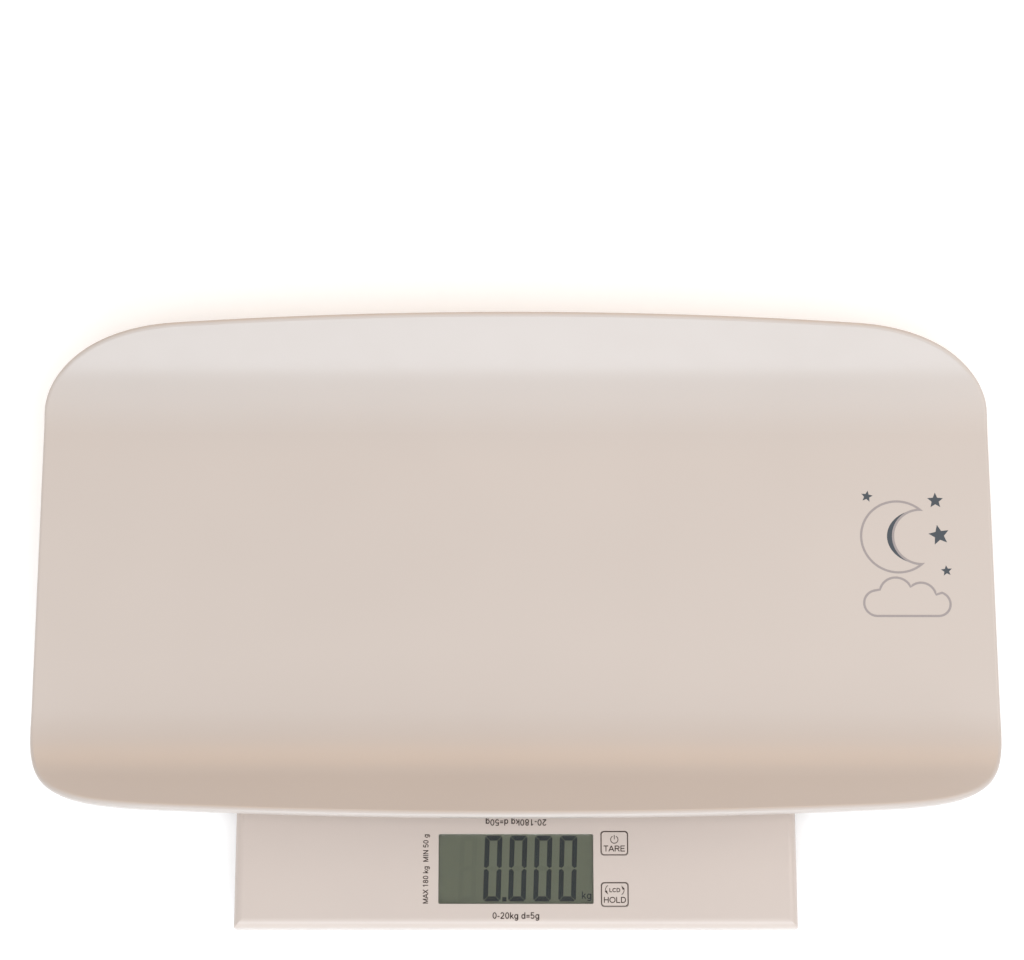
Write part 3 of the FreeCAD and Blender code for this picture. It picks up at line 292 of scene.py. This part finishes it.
# ---------------------------------------------------------------------------------------------
# Display: liquid-crystal glass under a window of clear cast acrylic, which is smooth and shiny.
# The polariser makes the ground a dull grey green. Driven segments turn nearly black and
# undriven ones stay just visible; both are drawn on the glass.
# ---------------------------------------------------------------------------------------------

CRYSTAL_CLOUD_MM = 40
CAST_FLOW_MM = 33.3


def crystal_ground(material):
    """The tone of the unlit display, with faint clouds."""
    coords = add_node(material, "ShaderNodeTexCoord", {})
    cloud = add_node(material, "ShaderNodeTexNoise",
                     {"Scale": 1000.0 / CRYSTAL_CLOUD_MM, "Detail": 2.0},
                     {"Vector": coords.outputs["Object"]})
    tint = add_node(material, "ShaderNodeValToRGB", {}, {"Fac": cloud.outputs["Fac"]})
    tint.color_ramp.elements[0].color = linear("6c6e58")
    tint.color_ramp.elements[1].color = linear("6e705a")
    return {"Base Color": tint.outputs["Color"]}


def cast_sheet(material):
    """Nearly colourless, with the slightest flow of tint."""
    coords = add_node(material, "ShaderNodeTexCoord", {})
    flow = add_node(material, "ShaderNodeTexNoise",
                    {"Scale": 1000.0 / CAST_FLOW_MM, "Detail": 1.0},
                    {"Vector": coords.outputs["Object"]})
    tint = add_node(material, "ShaderNodeValToRGB", {}, {"Fac": flow.outputs["Fac"]})
    tint.color_ramp.elements[0].color = linear("f3f5f0")
    tint.color_ramp.elements[1].color = linear("f6f8f3")
    return {"Base Color": tint.outputs["Color"]}


lcd_polariser = finish_material("grey_green_polariser", crystal_ground,
                                {"Roughness": 0.4, "IOR": 1.5})
window_acrylic = finish_material("clear_acrylic", cast_sheet,
                                 {"Roughness": 0.0, "IOR": 1.49, "Transmission Weight": 1.0})
dress(lcd_polariser, "lcd_glass")
dress(window_acrylic, "lcd_window")

INK_PATCH_MM = 2


def flat_piece(name, faces, height, material, body):
    """A thin printed or etched shape: flat faces, each a list of (x, y) points, at one height."""
    points = []
    corners = []
    for face in faces:
        corners.append(tuple(range(len(points), len(points) + len(face))))
        points += [(x, y, height) for x, y in face]
    mesh = bpy.data.meshes.new(name)
    mesh.from_pydata(points, [], corners)
    mesh.materials.append(material)
    piece = bpy.data.objects.new(name, mesh)
    bpy.context.collection.objects.link(piece)
    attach(piece, body)


def printed(name, light, dark, roughness=0.5, ior=1.5):
    """Ink or etched film: a flat tone, a little uneven where it is laid thin."""
    def surface(material):
        coords = add_node(material, "ShaderNodeTexCoord", {})
        patch = add_node(material, "ShaderNodeTexNoise",
                         {"Scale": 1000.0 / INK_PATCH_MM, "Detail": 2.0},
                         {"Vector": coords.outputs["Object"]})
        tint = add_node(material, "ShaderNodeValToRGB", {}, {"Fac": patch.outputs["Fac"]})
        tint.color_ramp.elements[0].color = linear(dark)
        tint.color_ramp.elements[1].color = linear(light)
        return {"Base Color": tint.outputs["Color"]}
    return finish_material(name, surface, {"Roughness": roughness, "IOR": ior})


# Prints and segments lie this far above what carries them.
PRINT_LIFT = 0.00003

glass_low, glass_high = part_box("lcd_glass")
DISPLAY_X = (glass_low.x + glass_high.x) / 2
DISPLAY_Y = (glass_low.y + glass_high.y) / 2
DISPLAY_TOP = glass_high.z + PRINT_LIFT
DIGIT_COUNT = 4
DIGIT_WIDTH = 0.0100
DIGIT_HEIGHT = 0.0372
DIGIT_PITCH = 0.01425
DIGIT_Y = DISPLAY_Y + 0.0005
FIRST_DIGIT = -0.0132
SEGMENT = 0.0028
SEGMENT_GAP = 0.00015
MIDDLE_GAP = 0.0002
CORNER_CUT = 0.0012
LEAN = 0.03
POINT_SIDE = 0.0024
POINT_SHIFT = 0.0005
UNIT_X = DISPLAY_X + 0.0402
UNIT_Y = DISPLAY_Y - 0.0146
UNIT_HEIGHT = 0.0042


def digit_segments(centre_x, lit):
    """Faces of a seven-segment digit with cut corners; lit names the segments a to g."""
    half_width = DIGIT_WIDTH / 2
    half_height = DIGIT_HEIGHT / 2
    # t is a segment's width, g the gap at its corners and m half the gap between the halves.
    t = SEGMENT
    g = SEGMENT_GAP
    m = MIDDLE_GAP
    cut = CORNER_CUT
    top = [(-half_width + cut, half_height), (half_width - cut, half_height),
           (half_width - cut / 2 - g, half_height - cut / 2),
           (half_width - t - g, half_height - t), (-half_width + t + g, half_height - t),
           (-half_width + cut / 2 + g, half_height - cut / 2)]
    upper = [(half_width - cut / 2, half_height - cut / 2 - g), (half_width, half_height - cut),
             (half_width, m + t / 4), (half_width - t / 2, m), (half_width - t, m + t / 2),
             (half_width - t, half_height - t - g)]
    middle = [(-half_width + t / 2 + g, 0), (-half_width + t + g, t / 2),
              (half_width - t - g, t / 2), (half_width - t / 2 - g, 0),
              (half_width - t - g, -t / 2), (-half_width + t + g, -t / 2)]
    shapes = {
        "a": top,
        "b": upper,
        "c": [(x, -y) for x, y in upper],
        "d": [(x, -y) for x, y in top],
        "e": [(-x, -y) for x, y in upper],
        "f": [(-x, y) for x, y in upper],
        "g": middle,
    }
    faces = []
    for segment in lit:
        faces.append([(DISPLAY_X + centre_x + x + LEAN * y, DIGIT_Y + y)
                      for x, y in shapes[segment]])
    return faces


# The crystal lies within the glass, so it barely shines: its index is set low.
crystal_dark = printed("driven_liquid_crystal", "132128", "0f1c23", roughness=0.4, ior=1.2)
crystal_faint = printed("undriven_liquid_crystal", "686a55", "666853", roughness=0.4)
driven = []
undriven = digit_segments(FIRST_DIGIT - DIGIT_PITCH, "abcdefg")
for place in range(DIGIT_COUNT):
    driven += digit_segments(FIRST_DIGIT + place * DIGIT_PITCH, "abcdef")
    undriven += digit_segments(FIRST_DIGIT + place * DIGIT_PITCH, "g")
point_x = DISPLAY_X + FIRST_DIGIT + DIGIT_PITCH / 2 - POINT_SHIFT
point_y = DIGIT_Y - DIGIT_HEIGHT / 2
driven.append([(point_x - POINT_SIDE / 2, point_y), (point_x + POINT_SIDE / 2, point_y),
               (point_x + POINT_SIDE / 2, point_y + POINT_SIDE),
               (point_x - POINT_SIDE / 2, point_y + POINT_SIDE)])
flat_piece("display_digits", driven, DISPLAY_TOP, crystal_dark, "base")
flat_piece("display_undriven", undriven, DISPLAY_TOP, crystal_faint, "base")


def ribbon(points, width, closed=False):
    """Four-cornered faces along a line of (x, y) points, width across."""
    count = len(points)
    sides = []
    for i in range(count):
        before = Vector(points[i - 1] if closed or i > 0 else points[i])
        after = Vector(points[(i + 1) % count] if closed or i < count - 1 else points[i])
        along = (after - before).normalized()
        across = Vector((-along.y, along.x)) * width / 2
        middle = Vector(points[i])
        sides.append((tuple(middle + across), tuple(middle - across)))
    spans = range(count if closed else count - 1)
    return [[sides[i][0], sides[i][1], sides[(i + 1) % count][1], sides[(i + 1) % count][0]]
            for i in spans]


def bend(x, y, wide, high, start, end, steps=20):
    """Points on an ellipse round (x, y), from start to end in degrees."""
    turns = [math.radians(start + (end - start) * i / steps) for i in range(steps + 1)]
    return [(x + wide * math.cos(a), y + high * math.sin(a)) for a in turns]


# Each letter's advance and strokes, for capitals one unit tall.
LETTERS = {
    " ": (0.36, []),
    "-": (0.46, [[(0.07, 0.36), (0.39, 0.36)]]),
    "=": (0.66, [[(0.08, 0.27), (0.58, 0.27)], [(0.08, 0.53), (0.58, 0.53)]]),
    "0": (0.76, [bend(0.38, 0.5, 0.25, 0.44, 0, 360)]),
    "1": (0.76, [[(0.17, 0.74), (0.43, 0.96)], [(0.43, 1.0), (0.43, 0.0)]]),
    "2": (0.76, [bend(0.37, 0.69, 0.23, 0.25, 165, -38) + [(0.12, 0.06)],
                 [(0.08, 0.06), (0.65, 0.06)]]),
    "5": (0.76, [[(0.61, 0.94), (0.17, 0.94)], [(0.21, 0.99), (0.14, 0.48)],
                 bend(0.37, 0.33, 0.25, 0.27, 150, -155)]),
    "8": (0.76, [bend(0.38, 0.74, 0.19, 0.2, 0, 360), bend(0.38, 0.29, 0.25, 0.24, 0, 360)]),
    "A": (0.86, [[(0.04, 0.0), (0.43, 0.97)], [(0.43, 0.97), (0.82, 0.0)],
                 [(0.17, 0.32), (0.69, 0.32)]]),
    "C": (0.9, [bend(0.48, 0.5, 0.37, 0.44, 45, 315)]),
    "D": (0.9, [[(0.15, 0.0), (0.15, 1.0)],
                [(0.15, 0.94), (0.4, 0.94)] + bend(0.42, 0.5, 0.36, 0.44, 90, -90)
                + [(0.15, 0.06)]]),
    "E": (0.82, [[(0.15, 0.0), (0.15, 1.0)], [(0.15, 0.94), (0.74, 0.94)],
                 [(0.15, 0.51), (0.69, 0.51)], [(0.15, 0.06), (0.76, 0.06)]]),
    "H": (0.9, [[(0.15, 0.0), (0.15, 1.0)], [(0.75, 0.0), (0.75, 1.0)],
                [(0.15, 0.51), (0.75, 0.51)]]),
    "I": (0.36, [[(0.18, 0.0), (0.18, 1.0)]]),
    "L": (0.72, [[(0.15, 0.0), (0.15, 1.0)], [(0.15, 0.06), (0.68, 0.06)]]),
    "M": (1.04, [[(0.15, 0.0), (0.15, 1.0)], [(0.15, 0.97), (0.52, 0.05)],
                 [(0.52, 0.05), (0.89, 0.97)], [(0.89, 1.0), (0.89, 0.0)]]),
    "N": (0.92, [[(0.15, 0.0), (0.15, 1.0)], [(0.15, 0.97), (0.77, 0.03)],
                 [(0.77, 0.0), (0.77, 1.0)]]),
    "O": (0.98, [bend(0.49, 0.5, 0.4, 0.44, 0, 360)]),
    "R": (0.88, [[(0.15, 0.0), (0.15, 1.0)],
                 [(0.15, 0.94), (0.5, 0.94)] + bend(0.53, 0.72, 0.22, 0.22, 90, -90)
                 + [(0.15, 0.5)], [(0.5, 0.5), (0.79, 0.0)]]),
    "T": (0.78, [[(0.04, 0.94), (0.74, 0.94)], [(0.39, 0.97), (0.39, 0.0)]]),
    "X": (0.8, [[(0.06, 0.0), (0.74, 1.0)], [(0.06, 1.0), (0.74, 0.0)]]),
    "d": (0.76, [bend(0.35, 0.35, 0.23, 0.3, 0, 360), [(0.6, 1.0), (0.6, 0.0)]]),
    "g": (0.76, [bend(0.35, 0.35, 0.23, 0.3, 0, 360), [(0.6, 0.71), (0.6, -0.05)],
                 bend(0.36, -0.05, 0.24, 0.17, 0, -155)]),
    "k": (0.68, [[(0.14, 0.0), (0.14, 1.0)], [(0.14, 0.24), (0.56, 0.69)],
                 [(0.29, 0.42), (0.62, 0.0)]]),
}


def lettering(name, words, centre, cap_height, level, material, body, turn=0.0, wide=1.0,
              stroke_width=0.16):
    """Plain sans-serif words laid flat, turned about their centre; wide stretches them."""
    length = sum(LETTERS[letter][0] for letter in words)
    across = Matrix.Rotation(turn, 2)
    faces = []
    start = -length / 2
    for letter in words:
        advance, strokes = LETTERS[letter]
        for stroke in strokes:
            for face in ribbon([((start + x) * wide, y - 0.5) for x, y in stroke],
                               stroke_width):
                turned = [across @ Vector(point) * cap_height for point in face]
                faces.append([(centre[0] + p.x, centre[1] + p.y) for p in turned])
        start += advance
    flat_piece(name, faces, level, material, body)


lettering("display_unit", "kg", (UNIT_X, UNIT_Y), UNIT_HEIGHT, DISPLAY_TOP, crystal_dark, "base",
          stroke_width=0.14)

# ---------------------------------------------------------------------------------------------
# Keys: caps of the same glossy white ABS with a screened outline, symbol and word. The brown
# ink is even and slightly dull. It is about a hundredth of a millimetre thick, and drawn just
# above the cap.
# ---------------------------------------------------------------------------------------------

CAP_DEPTH = 0.0136
OUTLINE_INSET = 0.0006
OUTLINE_ROUND = 0.0017
OUTLINE_LINE = 0.0004
POWER_UP = 0.0021
POWER_RING = 0.0021
POWER_LINE = 0.00045
POWER_GAP = 28
STROKE_FOOT = 0.0001
STROKE_TOP = 0.0026
LCD_UP = 0.0025
LCD_HEIGHT = 0.0022
ARROW_HUB = 0.0023
ARROW_BEND = 0.003
ARROW_START = -58
ARROW_END = 25
ARROW_TIP = 62
ARROW_AIM = 122
ARROW_HEAD = 0.0026
WORD_DOWN = 0.003
WORD_HEIGHT = 0.0033

dress(casing_abs, "tare_key", "hold_key")
brown_ink = printed("brown_screen_ink", "341e11", "2c190e")


def rounded_rectangle(centre, width, depth, radius):
    """Points round a rectangle with rounded corners."""
    points = []
    for right, back, start in ((1, 1, 0), (-1, 1, 90), (-1, -1, 180), (1, -1, 270)):
        corner = (centre[0] + right * (width / 2 - radius), centre[1] + back * (depth / 2 - radius))
        points += bend(*corner, radius, radius, start, start + 90, steps=8)
    return points


def arrow_head(tip, direction, length):
    """A triangle half as wide as long, with its tip at tip, pointing along direction."""
    turn = math.radians(direction)
    along = Vector((math.cos(turn), math.sin(turn)))
    across = Vector((-along.y, along.x))
    back = Vector(tip) - along * length
    return [tuple(tip), tuple(back + across * length * 0.25), tuple(back - across * length * 0.25)]


def power_symbol(centre):
    """Faces of a ring that is open at its top, with an upright stroke in the gap."""
    ring = bend(*centre, POWER_RING, POWER_RING, 90 + POWER_GAP, 450 - POWER_GAP)
    stroke = [(centre.x, centre.y + STROKE_FOOT), (centre.x, centre.y + STROKE_TOP)]
    return ribbon(ring, POWER_LINE) + ribbon(stroke, POWER_LINE)


def turning_arrows(centre):
    """Faces of two curved arrows, one each side of the centre, that turn the same way."""
    faces = []
    for side, way in ((0, 1), (180, -1)):
        hub = (centre.x + way * ARROW_HUB, centre.y)
        shaft = bend(*hub, ARROW_BEND, ARROW_BEND, side + ARROW_START, side + ARROW_END)
        tip = bend(*hub, ARROW_BEND, ARROW_BEND, 0, side + ARROW_TIP)[-1]
        faces += ribbon(shaft, OUTLINE_LINE)
        faces.append(arrow_head(tip, side + ARROW_AIM, ARROW_HEAD))
    return faces


for key in ("tare", "hold"):
    key_low, key_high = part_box(key + "_key")
    centre = Vector(((key_low.x + key_high.x) / 2, (key_low.y + key_high.y) / 2))
    level = key_high.z + PRINT_LIFT
    outline = rounded_rectangle(centre, key_high.x - key_low.x - OUTLINE_INSET,
                                CAP_DEPTH - OUTLINE_INSET, OUTLINE_ROUND)
    marks = ribbon(outline, OUTLINE_LINE, closed=True)
    if key == "tare":
        marks += power_symbol(centre + Vector((0, POWER_UP)))
    else:
        symbol = centre + Vector((0, LCD_UP))
        marks += turning_arrows(symbol)
        lettering("hold_key_symbol", "LCD", symbol, LCD_HEIGHT, level, brown_ink, "hold_key",
                  wide=1.15, stroke_width=0.21)
    flat_piece(key + "_key_print", marks, level, brown_ink, key + "_key")
    lettering(key + "_key_word", key.upper(), centre - Vector((0, WORD_DOWN)), WORD_HEIGHT,
              level, brown_ink, key + "_key", wide=1.13)

# ---------------------------------------------------------------------------------------------
# Ranges printed round the display: small sans-serif figures in the same brown ink.
# One line reads from the front, one from the back and one from the right.
# ---------------------------------------------------------------------------------------------

RANGE_AWAY = 0.0263
RANGE_HEIGHT = 0.0036
SIDE_RANGE_AWAY = 0.0513
SIDE_RANGE_HEIGHT = 0.003

shell_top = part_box("top_shell")[1].z + PRINT_LIFT
lettering("infant_range", "0-20kg d=5g", (DISPLAY_X, DISPLAY_Y - RANGE_AWAY), RANGE_HEIGHT,
          shell_top, brown_ink, "base")
lettering("adult_range", "20-180kg d=50g", (DISPLAY_X, DISPLAY_Y + RANGE_AWAY), RANGE_HEIGHT,
          shell_top, brown_ink, "base", turn=math.pi)
lettering("full_range", "MAX 180 kg  MIN 50 g", (DISPLAY_X - SIDE_RANGE_AWAY, DISPLAY_Y),
          SIDE_RANGE_HEIGHT, shell_top, brown_ink, "base", turn=math.pi / 2)

# ---------------------------------------------------------------------------------------------
# Battery bay: four AAA cells in shiny printed sleeves of shrunk plastic film, held between
# coiled springs and stamped contact plates. The nickel plating is bright and slightly warm.
# ---------------------------------------------------------------------------------------------

cell_sleeve = printed("printed_battery_sleeve", "32506e", "2c4762", roughness=0.3)
contact_nickel = metal("nickel_plated_steel", "cfcac0", "bcb7ad", 0.25, 0.3)
dress(cell_sleeve, *(f"battery_{i}" for i in range(1, 5)))
dress(contact_nickel, "battery_springs", "battery_contacts")

# ---------------------------------------------------------------------------------------------
# Wiring: stranded copper in red PVC, laid along the bottom cover from the load cells and the
# battery bay to the board. The drawn PVC is soft and satin, with a fine ripple.
# ---------------------------------------------------------------------------------------------

lead_pvc = moulded("red_pvc", "a31f1c", "941a18", 0.5, 1.0, 0.4)
dress(lead_pvc, "lead_back_left", "lead_front_left", "lead_back_right", "lead_front_right",
      "battery_leads")

# ---------------------------------------------------------------------------------------------
# Tray and the frame under it: glossy warm-white ABS, bent walls and a turned-down rim. Its
# polished mould gives long soft highlights. The frame stands on grey rubber pads and is screwed
# up into the tray.
# ---------------------------------------------------------------------------------------------

tray_abs = moulded("glossy_cream_abs", "c6bcb5", "c4bab3", 0.31, 5.0, 0.1)
dress(tray_abs, "tray")
dress(casing_abs, "tray_frame")
dress(pad_rubber, *("tray_pad_" + corner for corner in CORNERS))

# ---------------------------------------------------------------------------------------------
# Nursery print at the tray's right end: a crescent moon over a cloud, with stars.
# Lilac-grey outlines and slate fills, pad-printed on the flat of the tray in thin, even ink.
# ---------------------------------------------------------------------------------------------

TRAY_FLOOR = 0.056
PRINT_Z = TRAY_FLOOR + PRINT_LIFT
OUTLINE_LIFT = 0.00002
PRINT_X = 0.224
PRINT_Y = 0.036
PEN = 0.0013
MOON_X = PRINT_X - 0.004
MOON_Y = PRINT_Y + 0.012
MOON = 0.021
MOON_STEPS = 48
BITE = 0.0161
BITE_SHIFT = 0.0135
BITE_STEPS = 32
SHADE = 0.0035

outline_ink = printed("lilac_grey_ink", "a09897", "989090")
slate_ink = printed("slate_ink", "4a5158", "444b52")


def star(centre, size, turn):
    """Points of a five-pointed star; its inner corners reach 0.45 as far as its points."""
    points = []
    for i in range(10):
        reach = size if i % 2 == 0 else size * 0.45
        angle = math.radians(turn + 36 * i)
        points.append((centre[0] + reach * math.cos(angle), centre[1] + reach * math.sin(angle)))
    return points


def crescent(moon, bite):
    """Points round a crescent: a moon of one radius, with a bite of another out of its right."""
    meet = (moon ** 2 + BITE_SHIFT ** 2 - bite ** 2) / (2 * BITE_SHIFT * moon)
    moon_end = math.degrees(math.acos(meet))
    bite_end = math.degrees(math.acos((moon * meet - BITE_SHIFT) / bite))
    return (bend(MOON_X, MOON_Y, moon, moon, moon_end, 360 - moon_end, MOON_STEPS)
            + bend(MOON_X + BITE_SHIFT, MOON_Y, bite, bite, 360 - bite_end, bite_end, BITE_STEPS))


moon_out = crescent(MOON + PEN / 2, BITE - PEN / 2)
moon_in = crescent(MOON - PEN / 2, BITE + PEN / 2)
# Each bulge of the cloud: its centre, its radius, and where its arc starts and ends.
cloud = []
for x, y, radius, start, end in ((-0.017, -0.027, 0.0075, 270, 100),
                                 (-0.006, -0.0215, 0.0095, 165, 40),
                                 (0.0085, -0.0235, 0.0085, 135, 10),
                                 (0.018, -0.0275, 0.007, 70, -90)):
    cloud += bend(PRINT_X + x, PRINT_Y + y, radius, radius, start, end, steps=14)
outlines = [[moon_out[i - 1], moon_out[i], moon_in[i], moon_in[i - 1]]
            for i in range(len(moon_in))]
outlines += ribbon(cloud, PEN, closed=True)
flat_piece("nursery_outlines", outlines, PRINT_Z + OUTLINE_LIFT, outline_ink, "tray")

# Each star: its place from the middle of the print, its reach and its turn.
stars = [star((PRINT_X + x, PRINT_Y + y), size, turn) for x, y, size, turn in (
    (0.0185, 0.0335, 0.0048, 90), (0.020, 0.013, 0.0062, 100), (-0.021, 0.036, 0.0035, 80),
    (0.0235, -0.008, 0.0033, 95))]
inner = bend(MOON_X + BITE_SHIFT, MOON_Y, BITE, BITE, 270, 90, BITE_STEPS)
outer = bend(MOON_X + BITE_SHIFT, MOON_Y, BITE + SHADE, BITE, 270, 90, BITE_STEPS)
shade = [[inner[i], inner[i + 1], outer[i + 1], outer[i]] for i in range(BITE_STEPS)]
flat_piece("nursery_fills", stars + shade, PRINT_Z, slate_ink, "tray")
